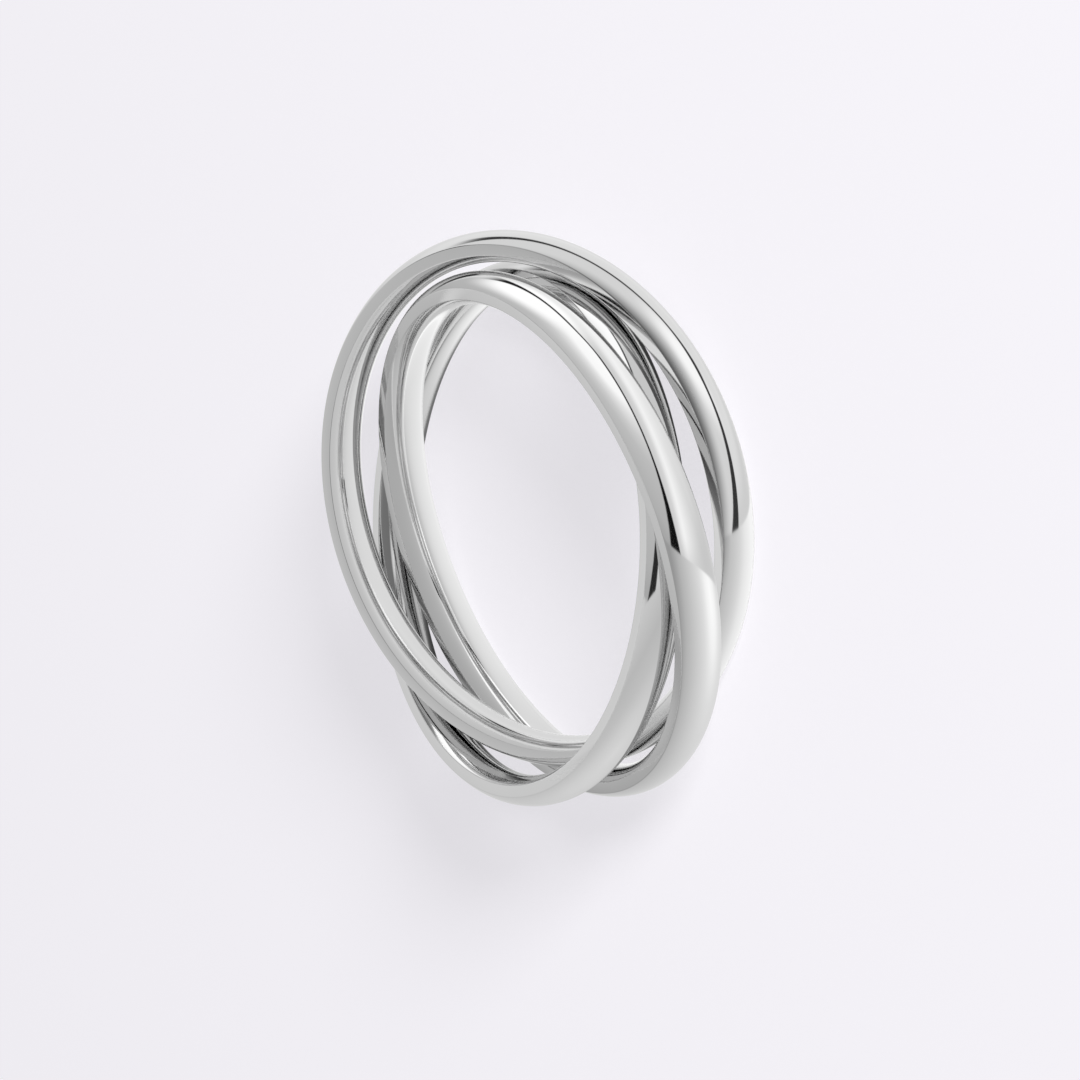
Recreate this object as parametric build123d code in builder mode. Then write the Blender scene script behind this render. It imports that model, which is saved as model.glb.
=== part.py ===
"""A rolling ring of three linked bands, lying on its side on a flat surface.

Millimetres. +Z is up, z = 0 is the surface that the ring lies on, and the origin is under the
middle of the ring. All three bands have one section, and each is linked through the other two.
"""

from build123d import *
from math import asin, cos, degrees, radians, sin, sqrt
import os

os.makedirs("parts", exist_ok=True)

# The section of a band: crowned inside, flat at both edges, domed outside
band_inner_diameter = 18.2
band_width = 1.78
inner_crown = 0.365
edge_height = 0.44
dome_height = 0.37
corner_radius = 0.07

# The room that the linked bands leave one another across their thickness, and how far under two
# widths apart two of them come where the third passes between
reach_play = 0.24
nesting = 0.36

# How each band lies: its lean as a share of the even lean, the direction of the level line that
# it leans about, and its middle along and across that line, as shares of the even reach
LIES = [
    {"band": "upper_band", "lean": 0.919, "direction": -25.3, "along": 0.917, "across": 0.434},
    {"band": "middle_band", "lean": 1.080, "direction": -139.1, "along": 1.055, "across": 0.200},
    {"band": "lower_band", "lean": 1.002, "direction": 122.1, "along": 0.897, "across": -0.153},
]

# Radii and heights of the section, measured from the band's own axis and mid plane
half_width = band_width / 2
inner_radius = band_inner_diameter / 2
lip_radius = inner_radius + inner_crown
shoulder_radius = lip_radius + edge_height
outer_radius = shoulder_radius + dome_height
band_thickness = outer_radius - inner_radius

# The arc of the dome, and the middle of the small round between an edge and the dome
dome_radius = (half_width**2 + dome_height**2) / (2 * dome_height)
dome_middle = outer_radius - dome_radius
round_height = half_width - corner_radius
round_middle = dome_middle + sqrt((dome_radius - corner_radius) ** 2 - round_height**2)

# Three even bands have their middles on a circle of one reach, a third of a turn apart, so two of
# them are sqrt(3) reaches apart where they cross one over the other. Where they pass side by side
# they are sqrt(3) times the rise of one leaned band apart
even_reach = (band_thickness + reach_play) / sqrt(3)
even_rise = (2 * band_width - nesting) / sqrt(3)
even_lean = degrees(asin(even_rise / (inner_radius + band_thickness / 2)))


def level_line(lie):
    """The level direction that a band leans about."""
    return Vector(cos(radians(lie["direction"])), sin(radians(lie["direction"])), 0)


def spin_direction(lie):
    """The direction of a band's own axis."""
    return Vector(0, 0, 1).rotate(Axis((0, 0, 0), level_line(lie)), even_lean * lie["lean"])


def middle_height(lie):
    """The height of a band's middle that lets its lowest edge touch z = 0."""
    lean = radians(even_lean * lie["lean"])
    return round_middle * sin(lean) + round_height * cos(lean) + corner_radius


def loose_middle(lie):
    """A band's middle, before the whole ring is centred over the origin."""
    along = level_line(lie) * (even_reach * lie["along"])
    across = Vector(0, 0, 1).cross(level_line(lie)) * (even_reach * lie["across"])
    return along + across + Vector(0, 0, middle_height(lie))


def furthest(direction):
    """How far the loose ring reaches in a level direction."""
    reaches = []
    for lie in LIES:
        slope = spin_direction(lie).dot(direction)
        reaches.append(
            loose_middle(lie).dot(direction) + dome_middle * sqrt(1 - slope**2) + dome_radius
        )
    return max(reaches)


ring_middle = Vector(
    (furthest(Vector(1, 0, 0)) - furthest(Vector(-1, 0, 0))) / 2,
    (furthest(Vector(0, 1, 0)) - furthest(Vector(0, -1, 0))) / 2,
    0,
)

for lie in LIES:
    middle = loose_middle(lie) - ring_middle
    spin_axis = Axis(middle, spin_direction(lie))
    section_plane = Plane(
        origin=middle,
        x_dir=level_line(lie),
        z_dir=level_line(lie).cross(spin_direction(lie)),
    )
    with BuildPart() as band:
        with BuildSketch(section_plane) as section:
            with BuildLine():
                inside = ThreePointArc(
                    (lip_radius, -half_width), (inner_radius, 0), (lip_radius, half_width)
                )
                edge = Line(inside @ 1, (shoulder_radius, half_width))
                dome = ThreePointArc(edge @ 1, (outer_radius, 0), (shoulder_radius, -half_width))
                Line(dome @ 1, inside @ 0)
            make_face()
            fillet(section.vertices(), corner_radius)
        revolve(axis=spin_axis)
    band.part.label = lie["band"]
    export_step(band.part, f"parts/{lie['band']}.step")
    print(lie["band"], "spins about", spin_axis, "volume", round(band.part.volume, 2))
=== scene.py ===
"""A rolling ring of three linked bands of polished silver, lying on its side on a pale floor."""

from math import atan2, cos, pi, radians, sin, sqrt

import bpy
import numpy as np
from mathutils import Matrix, Vector


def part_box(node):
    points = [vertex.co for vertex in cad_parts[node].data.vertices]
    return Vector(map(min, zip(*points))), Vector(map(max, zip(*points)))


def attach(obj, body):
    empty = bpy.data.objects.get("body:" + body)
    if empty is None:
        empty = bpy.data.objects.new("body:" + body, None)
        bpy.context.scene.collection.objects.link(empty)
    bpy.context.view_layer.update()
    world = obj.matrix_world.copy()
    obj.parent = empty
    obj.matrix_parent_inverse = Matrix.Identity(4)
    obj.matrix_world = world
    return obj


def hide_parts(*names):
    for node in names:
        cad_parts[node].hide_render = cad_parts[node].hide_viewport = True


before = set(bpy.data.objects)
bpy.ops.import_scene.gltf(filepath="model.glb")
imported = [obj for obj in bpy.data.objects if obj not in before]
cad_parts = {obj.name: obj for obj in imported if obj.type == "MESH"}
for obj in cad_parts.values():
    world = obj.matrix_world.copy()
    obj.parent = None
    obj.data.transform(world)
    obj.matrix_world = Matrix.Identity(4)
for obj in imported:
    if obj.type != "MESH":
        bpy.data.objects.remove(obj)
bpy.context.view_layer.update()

# The three bands. Each is a closed hoop of sterling silver with a domed outside, narrow flat edges
# and a crowned inside, turned to one section and linked through the other two before it is
# soldered shut, then polished all over to a mirror.
MM = 0.001
band_width = 1.78 * MM
band_inner_radius = 9.1 * MM
inner_crown = 0.365 * MM
edge_height = 0.44 * MM
dome_height = 0.37 * MM
corner_radius = 0.07 * MM
steps_over_dome = 48
steps_over_crown = 48
steps_round_outer_corner = 6
steps_round_inner_corner = 10
steps_round_band = 256
merge_distance = 0.0005 * MM
flat_edge_slope = 0.999


def arc_through_crown(rise):
    """The radius of an arc that rises by rise over the middle of the band's width."""
    return ((band_width / 2) ** 2 + rise**2) / (2 * rise)


def band_section():
    """The section's outline as (radius, height) points, turning the same way all round."""
    outer_radius = band_inner_radius + inner_crown + edge_height + dome_height
    dome_radius = arc_through_crown(dome_height)
    crown_radius = arc_through_crown(inner_crown)
    dome_middle = outer_radius - dome_radius
    crown_middle = band_inner_radius + crown_radius
    corner_height = band_width / 2 - corner_radius
    to_dome_corner = sqrt((dome_radius - corner_radius) ** 2 - corner_height**2)
    to_crown_corner = sqrt((crown_radius - corner_radius) ** 2 - corner_height**2)
    dome_corner = dome_middle + to_dome_corner
    crown_corner = crown_middle - to_crown_corner
    dome_turn = atan2(corner_height, to_dome_corner)
    crown_turn = atan2(corner_height, to_crown_corner)
    outer_steps = steps_round_outer_corner
    inner_steps = steps_round_inner_corner
    arcs = [
        # middle's radius and height, arc's radius, first and last direction, steps
        (dome_middle, 0, dome_radius, -dome_turn, dome_turn, steps_over_dome),
        (dome_corner, corner_height, corner_radius, dome_turn, pi / 2, outer_steps),
        (crown_corner, corner_height, corner_radius, pi / 2, pi - crown_turn, inner_steps),
        (crown_middle, 0, crown_radius, pi - crown_turn, pi + crown_turn, steps_over_crown),
        (crown_corner, -corner_height, corner_radius, pi + crown_turn, 3 * pi / 2, inner_steps),
        (dome_corner, -corner_height, corner_radius, -pi / 2, -dome_turn, outer_steps),
    ]
    points = []
    for middle, height, radius, first, last, steps in arcs:
        for step in range(steps + 1):
            turn = first + (last - first) * step / steps
            points.append((middle + radius * cos(turn), height + radius * sin(turn)))
    return points


def lie_of(node):
    """The middle and the spin axis of a band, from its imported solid."""
    low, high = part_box(node)
    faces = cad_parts[node].data.polygons
    areas = np.array([face.area for face in faces])
    normals = np.array([face.normal for face in faces])
    axis = np.linalg.eigh((areas[:, None] * normals).T @ normals)[1][:, 0]
    # the flat edge faces all point along the axis, so their own normals give it exactly
    slopes = normals @ axis
    flat = np.abs(slopes) > flat_edge_slope
    axis = (areas[flat] * np.sign(slopes[flat])) @ normals[flat]
    return (low + high) / 2, Vector(axis * np.sign(axis[2])).normalized()


def turn_band():
    """One band about the upright axis through the origin, turned from its section."""
    section = band_section()
    bpy.ops.object.select_all(action="DESELECT")
    bpy.ops.mesh.primitive_circle_add(vertices=len(section), radius=band_width)
    band = bpy.context.object
    for vertex, (radius, height) in zip(band.data.vertices, section):
        vertex.co = (radius, 0, height)
    bpy.ops.object.mode_set(mode="EDIT")
    bpy.ops.mesh.select_all(action="SELECT")
    bpy.ops.mesh.remove_doubles(threshold=merge_distance)
    bpy.ops.mesh.spin(steps=steps_round_band, angle=2 * pi, center=(0, 0, 0), axis=(0, 0, 1))
    bpy.ops.mesh.select_all(action="SELECT")
    bpy.ops.mesh.remove_doubles(threshold=merge_distance)
    bpy.ops.mesh.normals_make_consistent(inside=False)
    bpy.ops.object.mode_set(mode="OBJECT")
    bpy.ops.object.shade_smooth()
    # the finish follows the band wherever it lies, so each point keeps its upright place, in mm
    upright_place = band.data.attributes.new("upright_place", "FLOAT_VECTOR", "POINT")
    for vertex, place in zip(band.data.vertices, upright_place.data):
        place.vector = vertex.co / MM
    return band


def lay_band(band, node):
    """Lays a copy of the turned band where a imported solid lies."""
    middle, axis = lie_of(node)
    bpy.ops.object.select_all(action="DESELECT")
    band.select_set(True)
    bpy.ops.object.duplicate()
    laid = bpy.context.selected_objects[0]
    bpy.context.view_layer.objects.active = laid
    laid.name = node + "_polished"
    leaned = axis.to_track_quat("Z", "X").to_matrix().to_4x4()
    laid.matrix_world = Matrix.Translation(middle) @ leaned
    bpy.ops.object.transform_apply()
    return laid


def linear(hex_colour):
    """An sRGB hex colour as the linear colour that the shaders take."""
    colour = []
    for place in (1, 3, 5):
        share = int(hex_colour[place : place + 2], 16) / 255
        colour.append(share / 12.92 if share <= 0.04045 else ((share + 0.055) / 1.055) ** 2.4)
    return colour + [1]


def add_node(tree, kind, *feeds, **settings):
    """Adds a node with its settings, feeds its inputs in order, and gives its first output."""
    node = tree.nodes.new(kind)
    for name, value in settings.items():
        setattr(node, name, value)
    for socket, feed in zip([socket for socket in node.inputs if socket.enabled], feeds):
        if isinstance(feed, bpy.types.NodeSocket):
            tree.links.new(feed, socket)
        else:
            socket.default_value = feed
    outputs = [socket for socket in node.outputs if socket.enabled]
    return outputs[0] if outputs else None


# Sterling silver, buffed on a felt wheel and rhodium plated: a clear mirror, a little greyer than
# white. The wheel leaves hairlines round the band, and wear leaves it very slightly cloudy, so its
# reflections are crisp but not glassy.
clear_tone = "#d4d4d4"
clouded_tone = "#d8d8d8"
clear_roughness = 0.035
clouded_roughness = 0.06

# real hairlines are about 5 microns wide, too fine to show, so they are drawn 40 microns wide,
# with slopes as small as the real ones have. The pattern's own lengths are in millimetres
hairline_length = 6
hairline_width = 0.04
hairline_detail = 1
hairline_depth = 0.00006 * MM
hairline_roughness = 0.02
cloud_width = 2.2
cloud_detail = 2
noise_low = 0.3
noise_high = 0.7
silver = bpy.data.materials.new("buffed sterling silver")
silver.use_nodes = True
tree = silver.node_tree
polish = tree.nodes["Principled BSDF"]
polish.inputs["Metallic"].default_value = 1
upright = add_node(tree, "ShaderNodeAttribute", attribute_name="upright_place")
place = upright.node.outputs["Vector"]
level = add_node(tree, "ShaderNodeVectorMath", place, (1, 1, 0), operation="MULTIPLY")
radius = add_node(tree, "ShaderNodeVectorMath", level, operation="LENGTH")
fineness = (1 / hairline_length, 1 / hairline_length, 1 / hairline_width)
stretched = add_node(tree, "ShaderNodeVectorMath", place, fineness, operation="MULTIPLY")
outwards = add_node(tree, "ShaderNodeMath", radius, hairline_width, operation="DIVIDE")
hairlines = add_node(
    tree, "ShaderNodeTexNoise", stretched, outwards, 1, hairline_detail, noise_dimensions="4D"
)
clouds = add_node(tree, "ShaderNodeTexNoise", place, 1 / cloud_width, cloud_detail)
colour = add_node(
    tree, "ShaderNodeMix", clouds, linear(clear_tone), linear(clouded_tone), data_type="RGBA"
)
tree.links.new(colour, polish.inputs["Base Color"])
clouded = add_node(
    tree, "ShaderNodeMapRange", clouds, noise_low, noise_high, clear_roughness, clouded_roughness
)
lined = add_node(
    tree, "ShaderNodeMapRange", hairlines, noise_low, noise_high, 0, hairline_roughness
)
roughness = add_node(tree, "ShaderNodeMath", lined, clouded, operation="ADD")
tree.links.new(roughness, polish.inputs["Roughness"])
grooves = tree.nodes.new("ShaderNodeBump")
grooves.inputs["Distance"].default_value = hairline_depth
tree.links.new(hairlines, grooves.inputs["Height"])
tree.links.new(grooves.outputs["Normal"], polish.inputs["Normal"])

turned = turn_band()
turned.data.materials.append(silver)
for node in ("upper_band", "middle_band", "lower_band"):
    band = lay_band(turned, node)
    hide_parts(node)
    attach(band, node)
bpy.data.objects.remove(turned)

# The floor: a pale matt sheet, lit so evenly that the ring leaves only a faint shadow on it. Most
# of its light is its own, as on a sheet of opal glass lit from below. The bands don't mirror it,
# because the light tent has a table of its own.
floor_size = 3
floor_tone = "#f1eff4"
floor_glow = 0.77
floor_share = 0.36
floor_roughness = 0.9
bpy.ops.object.select_all(action="DESELECT")
bpy.ops.mesh.primitive_plane_add(size=floor_size)
floor = bpy.context.object
floor.name = "floor"
floor_sheet = bpy.data.materials.new("lit pale floor")
floor_sheet.use_nodes = True
sheet = floor_sheet.node_tree.nodes["Principled BSDF"]
dimmed = [share * floor_share for share in linear(floor_tone)[:3]]
sheet.inputs["Base Color"].default_value = dimmed + [1]
sheet.inputs["Roughness"].default_value = floor_roughness
sheet.inputs["Specular IOR Level"].default_value = 0
sheet.inputs["Emission Color"].default_value = linear(floor_tone)
sheet.inputs["Emission Strength"].default_value = floor_glow
floor.data.materials.append(floor_sheet)
floor.visible_glossy = False

# The camera, at the photograph's angle to the ring. The photographed ring stands, so the camera is
# rolled, to show the lying ring the same way up.
focal_pixels = 5031.2
picture_pixels = 1080
sensor_width = 36
camera_place = Vector((-0.170, -148.941, 118.27)) * MM
picture_right = Vector((-0.20917, -0.60045, -0.77182))
picture_up = Vector((0.97787, -0.12553, -0.16735))
picture_back = picture_right.cross(picture_up)
bpy.ops.object.camera_add()
camera = bpy.context.object
aimed = Matrix((picture_right, picture_up, picture_back)).transposed().to_4x4()
camera.matrix_world = Matrix.Translation(camera_place) @ aimed
camera.data.sensor_width = sensor_width
camera.data.lens = focal_pixels / picture_pixels * sensor_width
camera.data.clip_start = 1 * MM
bpy.context.scene.camera = camera

# The light tent. The photographed ring stands in it, so it is laid out about the standing ring: up
# is up in the picture, leaned a little towards the camera, which looks down. Each dome is the
# walls and the table that one band mirrors. Angles are in degrees, heights from the ring's middle.
tent_up = (0.1 * picture_right + 0.92 * picture_up + 0.379 * picture_back).normalized()
tent_front = (picture_back - picture_back.dot(tent_up) * tent_up).normalized()
tent_right = tent_up.cross(tent_front)

# the silver gives back this share of the light, so the cards are brighter by as much
silver_share = 0.67

# the walls: the left one's light changes with its height, and the right one's from the gap on.
# Near the table the right wall is greyer
side_softness = 2
right_wall_reach = 80
low_right_height = 16
low_right_grey = "#c4c4c4"

# the gap between the walls: half of it is this wide from the taper's height up, and wider below
gap_half_width = 2.1
gap_taper_height = 55
gap_softness = 1.1

# behind the ring the gap bends, one way at the low height and the other way at the high one. A
# direction is behind the ring when its share towards the front falls from none to full
behind_none = -0.15
behind_full = -0.45
bend_low = 20
bend_high = 84
bend_most = 32
gap_end_softness = 6

# the table's far edge: its level part lies this far under the ring's middle. It is on the left,
# where a direction's share to the right falls from none to full
left_none = -0.1
left_full = -0.3
left_drop = 3
left_edge_softness = 0.5
right_edge_softness = 0.4


def towards(azimuth, elevation):
    """The direction at an azimuth from the tent's front and an elevation."""
    level = sin(radians(azimuth)) * tent_right + cos(radians(azimuth)) * tent_front
    return cos(radians(elevation)) * level + sin(radians(elevation)) * tent_up


def angle_from(tree, line, direction):
    """The angle between the line from the ring's middle and a direction."""
    cosine = add_node(tree, "ShaderNodeVectorMath", line, direction, operation="DOT_PRODUCT")
    turn = add_node(tree, "ShaderNodeMath", cosine, operation="ARCCOSINE")
    return add_node(tree, "ShaderNodeMath", turn, operation="DEGREES")


def greys_along(tree, value, first, last, stops):
    """Greys that follow a value from first to last, as (value, hex) stops."""
    share = add_node(tree, "ShaderNodeMapRange", value, first, last, 0, 1)
    colour = add_node(tree, "ShaderNodeValToRGB", share)
    ramp = colour.node.color_ramp
    while len(ramp.elements) < len(stops):
        ramp.elements.new(0.5)
    # a stop that is moved may change places with another, so all are placed before any is coloured
    for element, (stop, grey) in zip(ramp.elements, stops):
        element.position = (stop - first) / (last - first)
    for element, (stop, grey) in zip(ramp.elements, stops):
        element.color = linear(grey)
    return colour


def mirrored_by(band, card):
    """Lets one polished band, and nothing else, mirror a card, and gives the card's node tree."""
    light = bpy.data.materials.new(card.name + " light")
    light.use_nodes = True
    light.node_tree.nodes.clear()
    light.cycles.emission_sampling = "NONE"
    card.data.materials.append(light)
    card.visible_camera = False
    card.visible_diffuse = False
    card.visible_shadow = False
    card.visible_transmission = False
    card.visible_volume_scatter = False
    mirror = bpy.data.collections.new(card.name + " mirror")
    mirror.objects.link(bpy.data.objects[band + "_polished"])
    card.light_linking.receiver_collection = mirror
    return light.node_tree


def light_tent(
    band, size, see_through, left_wall, right_wall, low_right, table, table_middle, patches,
    edge_towards, edge_slope, edge_drop, gap_middle, gap_radius, gap_widening, gap_curve,
    gap_grey, bend_behind, width_behind, end_behind,
):
    """A dome about the ring with the walls, the gap between them and the table for one band."""
    soft = {"interpolation_type": "SMOOTHSTEP"}
    bpy.ops.object.select_all(action="DESELECT")
    bpy.ops.mesh.primitive_uv_sphere_add(segments=64, ring_count=32, radius=size)
    dome = bpy.context.object
    dome.name = band + "_tent"
    tree = mirrored_by(band, dome)
    place = tree.nodes.new("ShaderNodeTexCoord").outputs["Object"]
    line = add_node(tree, "ShaderNodeVectorMath", place, operation="NORMALIZE")
    from_up = angle_from(tree, line, tent_up)
    height = add_node(tree, "ShaderNodeMath", 90, from_up, operation="SUBTRACT")
    forward = add_node(tree, "ShaderNodeVectorMath", line, tent_front, operation="DOT_PRODUCT")
    behind = add_node(tree, "ShaderNodeMapRange", forward, behind_full, behind_none, 1, 0, **soft)

    # the gap is a hoop round a middle of its own, and behind the ring it bends away from that
    # hoop. Beyond is how far a direction lies outside it, on the right wall's side
    to_middle = angle_from(tree, line, towards(*gap_middle))
    beyond = add_node(tree, "ShaderNodeMath", to_middle, gap_radius, operation="SUBTRACT")
    bent = bend_most * bend_behind
    bend = add_node(tree, "ShaderNodeMapRange", height, bend_low, bend_high, -bent, bent)
    beyond = add_node(tree, "ShaderNodeMath", bend, behind, beyond, operation="MULTIPLY_ADD")

    # the walls
    on_left = add_node(
        tree, "ShaderNodeMapRange", beyond, -side_softness, side_softness, 1, 0, **soft
    )
    left_light = greys_along(tree, height, 0, 90, left_wall)
    right_light = greys_along(tree, beyond, 0, right_wall_reach, right_wall)
    lowness = add_node(
        tree, "ShaderNodeMapRange", height, 0, low_right_height, low_right, 0, **soft
    )
    right_light = add_node(
        tree, "ShaderNodeMix", lowness, right_light, linear(low_right_grey), data_type="RGBA"
    )
    light = add_node(tree, "ShaderNodeMix", on_left, right_light, left_light, data_type="RGBA")

    # the table's greys lie round one place on it, and the patches lie on walls and table alike.
    # Some dark patches are painted shade, for the crevices between the bands
    from_middle = angle_from(tree, line, towards(*table_middle))
    table_light = greys_along(tree, from_middle, 0, 180, table)
    for azimuth, elevation, full_radius, outer_radius, grey in patches:
        away = angle_from(tree, line, towards(azimuth, elevation))
        share = add_node(
            tree, "ShaderNodeMapRange", away, full_radius, outer_radius, 1, 0, **soft
        )
        light = add_node(tree, "ShaderNodeMix", share, light, linear(grey), data_type="RGBA")
        table_light = add_node(
            tree, "ShaderNodeMix", share, table_light, linear(grey), data_type="RGBA"
        )

    # the gap narrows upwards from the table, and behind the ring it ends at a height of its own
    away = add_node(tree, "ShaderNodeMath", beyond, operation="ABSOLUTE")
    taper = add_node(tree, "ShaderNodeMapRange", height, 0, gap_taper_height, 1, 0)
    taper = add_node(tree, "ShaderNodeMath", taper, gap_curve, operation="POWER")
    half = add_node(
        tree, "ShaderNodeMath", taper, gap_widening, gap_half_width, operation="MULTIPLY_ADD"
    )
    narrowing = add_node(tree, "ShaderNodeMapRange", behind, 0, 1, 1, width_behind)
    half = add_node(tree, "ShaderNodeMath", half, narrowing, operation="MULTIPLY")
    outside = add_node(tree, "ShaderNodeMath", away, half, operation="SUBTRACT")
    gap = add_node(
        tree, "ShaderNodeMapRange", outside, -gap_softness, gap_softness, 1, 0, **soft
    )
    end_low = end_behind - gap_end_softness
    end_high = end_behind + gap_end_softness
    ended = add_node(tree, "ShaderNodeMapRange", height, end_low, end_high, 1, 0, **soft)
    ended = add_node(tree, "ShaderNodeMath", ended, behind, operation="MULTIPLY")
    kept = add_node(tree, "ShaderNodeMath", 1, ended, operation="SUBTRACT")
    gap = add_node(tree, "ShaderNodeMath", gap, kept, operation="MULTIPLY")
    light = add_node(tree, "ShaderNodeMix", gap, light, linear(gap_grey), data_type="RGBA")

    # the table's far edge is level on the left and slopes a little on the right
    rightward = add_node(tree, "ShaderNodeVectorMath", line, tent_right, operation="DOT_PRODUCT")
    leftness = add_node(tree, "ShaderNodeMapRange", rightward, left_full, left_none, 1, 0)
    from_tilted_up = angle_from(tree, line, towards(edge_towards + 180, 90 - edge_slope))
    tilted = add_node(tree, "ShaderNodeMath", 90, from_tilted_up, operation="SUBTRACT")
    right_low = -edge_drop - right_edge_softness
    right_high = -edge_drop + right_edge_softness
    over_right = add_node(tree, "ShaderNodeMapRange", tilted, right_low, right_high, 0, 1)
    left_low = -left_drop - left_edge_softness
    left_high = -left_drop + left_edge_softness
    over_left = add_node(tree, "ShaderNodeMapRange", height, left_low, left_high, 0, 1)
    over_edge = add_node(tree, "ShaderNodeMix", leftness, over_right, over_left)
    light = add_node(tree, "ShaderNodeMix", over_edge, table_light, light, data_type="RGBA")

    # through a see-through dome the other bands reach the larger domes that are theirs
    glow = add_node(tree, "ShaderNodeEmission", light, 1 / silver_share)
    if see_through:
        clear = add_node(tree, "ShaderNodeBsdfTransparent")
        glow = add_node(tree, "ShaderNodeAddShader", glow, clear)
    add_node(tree, "ShaderNodeOutputMaterial", glow)


pale_left_wall = [
    (0, "#a6a6a6"), (8, "#afafaf"), (26, "#b7b7b7"), (38, "#bcbcbc"),
    (50, "#cacaca"), (62, "#e0e0e0"), (72, "#f8f8f8"), (90, "#fcfcfc"),
]
light_tent(
    band="middle_band",
    size=1.0,
    see_through=True,
    left_wall=pale_left_wall,
    right_wall=[
        (0, "#cdcdcd"), (8, "#cecece"), (14, "#d4d4d4"), (22, "#eaeaea"), (28, "#f2f2f2"),
        (36, "#eaeaea"), (48, "#dedede"), (60, "#d4d4d4"), (76, "#c8c8c8"),
    ],
    low_right=0.6,
    table=[
        (0, "#fbfbfb"), (16, "#f1f1f1"), (25, "#e5e5e5"), (35, "#dadada"), (47, "#d1d1d1"),
        (67, "#c3c3c3"), (87, "#b3b3b3"), (107, "#949494"), (122, "#9c9c9c"), (136, "#c4c4c4"),
    ],
    table_middle=(98, -8),
    patches=[(-150, 48, 16, 37, "#ffffff")],
    edge_towards=45,
    edge_slope=16,
    edge_drop=11,
    gap_middle=(-66.6, 22.7),
    gap_radius=76.9,
    gap_widening=8.5,
    gap_curve=2.2,
    gap_grey="#121212",
    bend_behind=0.2,
    width_behind=1.0,
    end_behind=22,
)
light_tent(
    band="lower_band",
    size=1.02,
    see_through=True,
    left_wall=pale_left_wall,
    right_wall=[(0, "#c6c6c6"), (76, "#c4c4c4")],
    low_right=0,
    table=[(0, "#d4d4d4"), (25, "#cbcbcb"), (45, "#bebebe"), (65, "#b7b7b7"), (95, "#c9c9c9")],
    table_middle=(90, -70),
    # the two dark patches on the right are painted shade: they darken this band where it lies in
    # the crevice next to the middle band, in the upper band's shadow
    patches=[
        (-150, 48, 16, 40, "#ffffff"), (148, -8, 22, 40, "#6c6c6c"), (158, 5, 8, 34, "#363636"),
    ],
    edge_towards=45,
    edge_slope=16,
    edge_drop=13,
    gap_middle=(-66.6, 22.7),
    gap_radius=71.9,
    gap_widening=7.0,
    gap_curve=1.0,
    gap_grey="#292929",
    bend_behind=0.2,
    width_behind=1.0,
    end_behind=22,
)
light_tent(
    band="upper_band",
    size=1.04,
    see_through=False,
    left_wall=[(0, "#d1d1d1"), (90, "#d2d2d2")],
    right_wall=[(0, "#d9d9d9"), (76, "#dedede")],
    low_right=0.7,
    table=[
        (0, "#f3f3f3"), (35, "#e5e5e5"), (55, "#d4d4d4"), (75, "#c7c7c7"), (95, "#bcbcbc"),
        (150, "#c0c0c0"),
    ],
    table_middle=(125, -8),
    patches=[
        (92, 55, 6, 34, "#f7f7f7"), (-30, 20, 28, 74, "#5a5a5a"), (-12, 10, 12, 30, "#6c6c6c"),
        (170, -52, 5, 26, "#6a6a6a"),
    ],
    edge_towards=62,
    edge_slope=12,
    edge_drop=12,
    gap_middle=(-18.4, 46.3),
    gap_radius=78.3,
    gap_widening=6.0,
    gap_curve=1.2,
    gap_grey="#343434",
    bend_behind=0.45,
    width_behind=0.8,
    end_behind=24,
)

# The two ends of the finger hole. The insides of the bands mirror what lies above and below the
# hole, so a round card with a soft edge closes each end of it for each band. Each card glows with
# its greys, a light that only its own band mirrors. The greys run across the card, and its radii
# and the greys' places are in millimetres.
card_radius = 9.4
card_solid_radius = 8.4
card_reach = 9
over_hole = 6.6 * MM
under_hole = -0.8 * MM
card_step = 0.1 * MM


def hole_card(end, band, height, direction, greys, see_through=True):
    """A round card over one end of the finger hole, whose greys run towards a direction."""
    bpy.ops.object.select_all(action="DESELECT")
    bpy.ops.mesh.primitive_circle_add(vertices=64, radius=card_radius * MM, fill_type="NGON")
    card = bpy.context.object
    card.name = band + "_" + end
    card.location = (0, 0, height)
    bpy.ops.object.transform_apply()
    tree = mirrored_by(band, card)
    place = tree.nodes.new("ShaderNodeTexCoord").outputs["Object"]
    line = (cos(radians(direction)) / MM, sin(radians(direction)) / MM, 0)
    along = add_node(tree, "ShaderNodeVectorMath", place, line, operation="DOT_PRODUCT")
    light = greys_along(tree, along, -card_reach, card_reach, greys)
    flat = (1 / MM, 1 / MM, 0)
    level = add_node(tree, "ShaderNodeVectorMath", place, flat, operation="MULTIPLY")
    out = add_node(tree, "ShaderNodeVectorMath", level, operation="LENGTH")
    cover = add_node(
        tree, "ShaderNodeMapRange", out, card_solid_radius, card_radius, 1, 0,
        interpolation_type="SMOOTHSTEP",
    )
    clear = add_node(tree, "ShaderNodeBsdfTransparent")
    if see_through:
        strength = add_node(tree, "ShaderNodeMath", cover, silver_share, operation="DIVIDE")
        glow = add_node(tree, "ShaderNodeEmission", light, strength)
        glow = add_node(tree, "ShaderNodeAddShader", glow, clear)
    else:
        glow = add_node(tree, "ShaderNodeEmission", light, 1 / silver_share)
        glow = add_node(tree, "ShaderNodeMixShader", cover, clear, glow)
    add_node(tree, "ShaderNodeOutputMaterial", glow)


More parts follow.
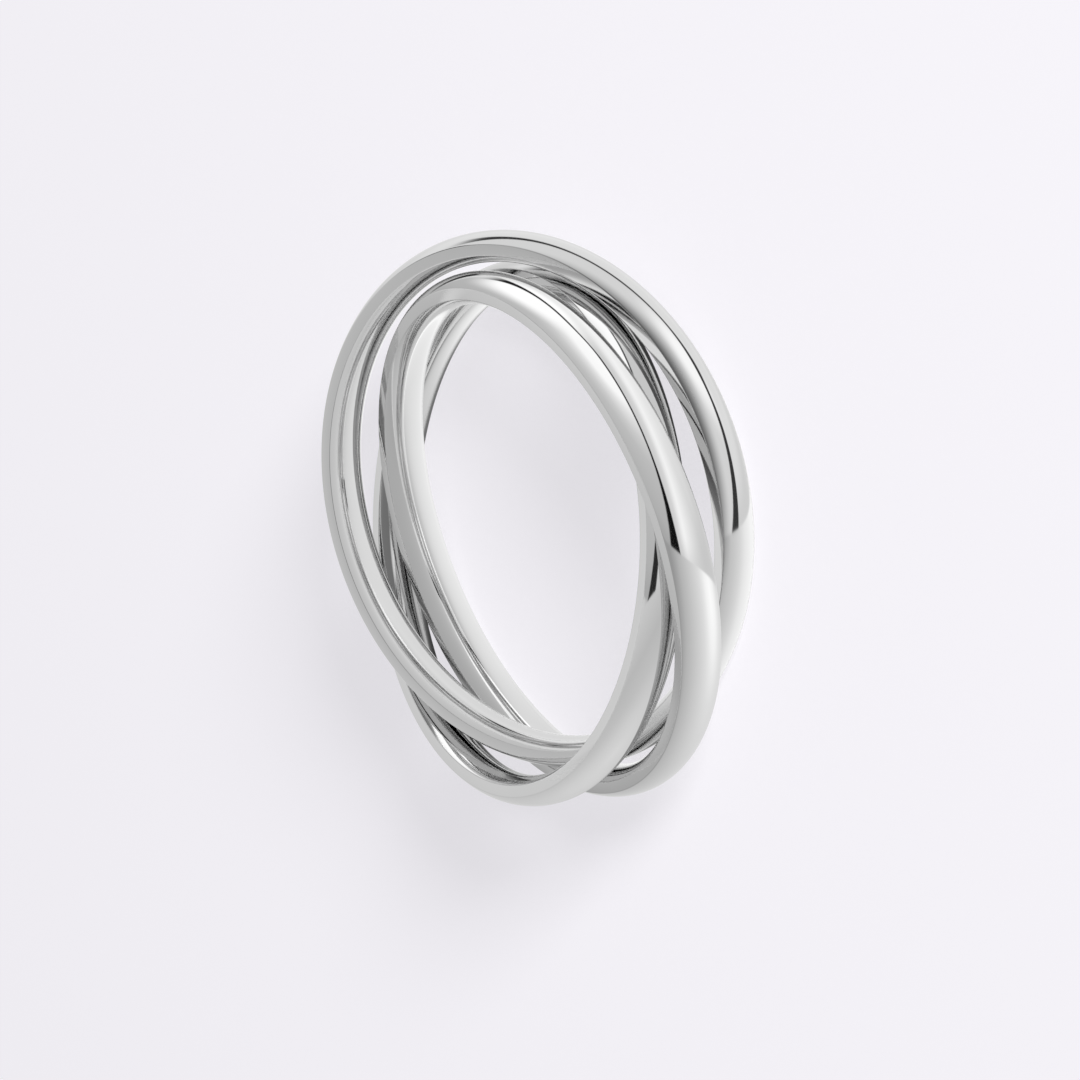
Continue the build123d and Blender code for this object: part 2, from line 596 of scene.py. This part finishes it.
hole_card(
    "over", "middle_band", over_hole, direction=-47,
    greys=[(-9, "#a0a0a0"), (0, "#b2b2b2"), (9, "#c6c6c6")],
)
hole_card(
    "over", "lower_band", over_hole + card_step, direction=35,
    greys=[
        (-9, "#cacaca"), (-1, "#c6c6c6"), (0.6, "#6a6a6a"), (4.4, "#6e6e6e"), (6, "#868686"),
        (8, "#b4b4b4"),
    ],
)
hole_card(
    "over", "upper_band", over_hole + 2 * card_step, direction=-68,
    greys=[(-9, "#b4b4b4"), (0, "#cacaca"), (9, "#d8d8d8")],
    see_through=False,
)
hole_card(
    "under", "middle_band", under_hole, direction=85,
    greys=[(-9, "#b8b8b8"), (0, "#c0c0c0"), (9, "#ececec")],
)
hole_card(
    "under", "lower_band", under_hole - card_step, direction=-49,
    greys=[
        (-9, "#4c4c4c"), (-6.6, "#999999"), (-4.6, "#c0c0c0"), (-2.6, "#d0d0d0"),
        (-0.5, "#e2e2e2"), (1.4, "#e8e8e8"), (3, "#8c8c8c"), (5.5, "#484848"), (9, "#303030"),
    ],
)
hole_card(
    "under", "upper_band", under_hole - 2 * card_step, direction=16,
    greys=[(-9, "#c4c4c4"), (3, "#dadada"), (9, "#c8c8c8")],
    see_through=False,
)

# The lamp and the room. One soft lamp, in front of the photographed ring and above it, lays the
# ring's faint shadow on the floor, and a pale room lights the rest.
lamp_size = 0.16
lamp_power = 3.6
lamp_distance = 0.5
lamp_from = Vector((1, -2.4, 1)).normalized()
bpy.ops.object.light_add(type="AREA")
lamp = bpy.context.object
lamp.data.shape = "DISK"
lamp.data.size = lamp_size
lamp.data.energy = lamp_power
lamp.visible_glossy = False
lamp_aim = lamp_from.to_track_quat("Z", "Y").to_matrix().to_4x4()
lamp.matrix_world = Matrix.Translation(lamp_from * lamp_distance) @ lamp_aim

room_tone = "#f4f2f7"
room_strength = 0.2
world = bpy.data.worlds.new("soft room")
world.use_nodes = True
room = world.node_tree.nodes["Background"]
room.inputs["Color"].default_value = linear(room_tone)
room.inputs["Strength"].default_value = room_strength
bpy.context.scene.world = world
bpy.context.scene.view_settings.view_transform = "Standard"
